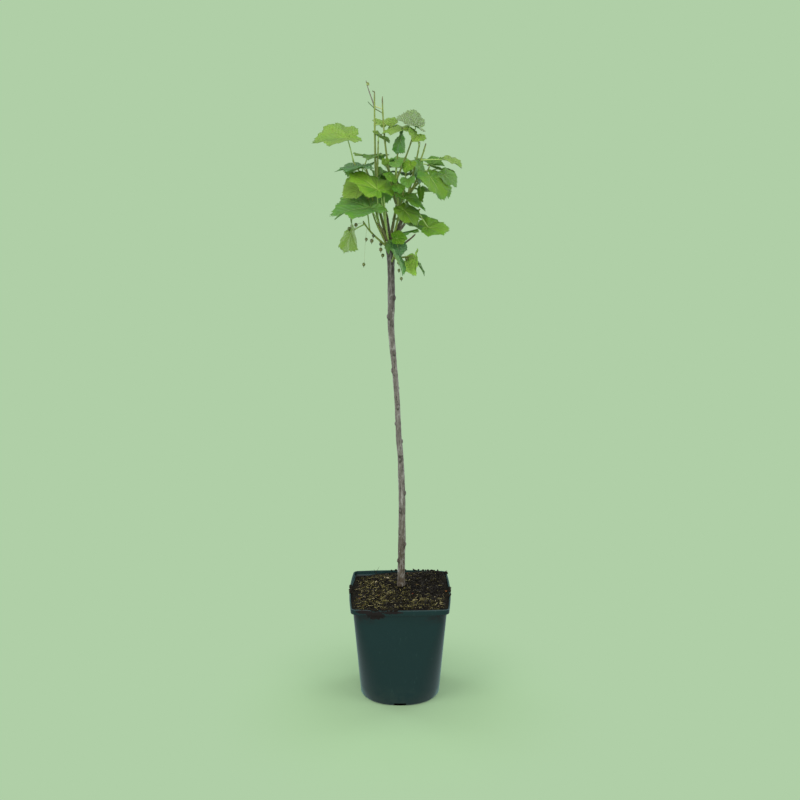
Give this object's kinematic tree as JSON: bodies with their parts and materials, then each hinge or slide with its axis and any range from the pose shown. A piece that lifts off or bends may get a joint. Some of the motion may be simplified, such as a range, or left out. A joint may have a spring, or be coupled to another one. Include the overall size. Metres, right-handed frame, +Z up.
{
  "type": "potted blackcurrant standard",
  "caption": "Young blackcurrant grown as a standard: bare leaning stem, small open crown of lobed leaves with a few green berries, in a square tapered nursery pot of compost.",
  "frame": {"origin": "centre of the pot's flat underside", "axes": "+Z up along the trunk, -Y towards the side seen in the picture, +X to that view's right"},
  "size_m": [0.2466, 0.2059, 1.0935],
  "materials": {
    "pot_plastic": "satin",
    "compost": "matte",
    "bark_grey": "matte",
    "bark_dark": "matte",
    "leaf_fresh": "satin",
    "leaf_light": "satin",
    "leaf_mid": "satin",
    "leaf_blue_green": "satin",
    "leaf_deep": "satin"
  },
  "bodies": {
    "root": {"pot": "pot_plastic", "soil": "compost", "trunk": "bark_grey", "bough_left": "bark_dark", "bough_left_low": "bark_dark", "bough_middle": "bark_dark", "bough_right": "bark_dark", "bough_right_low": "bark_dark", "bough_back": "bark_dark", "bough_back_right": "bark_dark", "mass_top_left": "leaf_fresh", "mass_left_front": "leaf_blue_green", "mass_left_low": "leaf_light", "mass_top_middle": "leaf_mid", "mass_right_top": "leaf_fresh", "mass_centre": "leaf_deep", "mass_right_low": "leaf_fresh", "mass_low_front": "leaf_blue_green", "mass_back_left": "leaf_mid", "mass_back_right": "leaf_mid", "mass_back_low": "leaf_deep"}
  },
  "joints": []
}
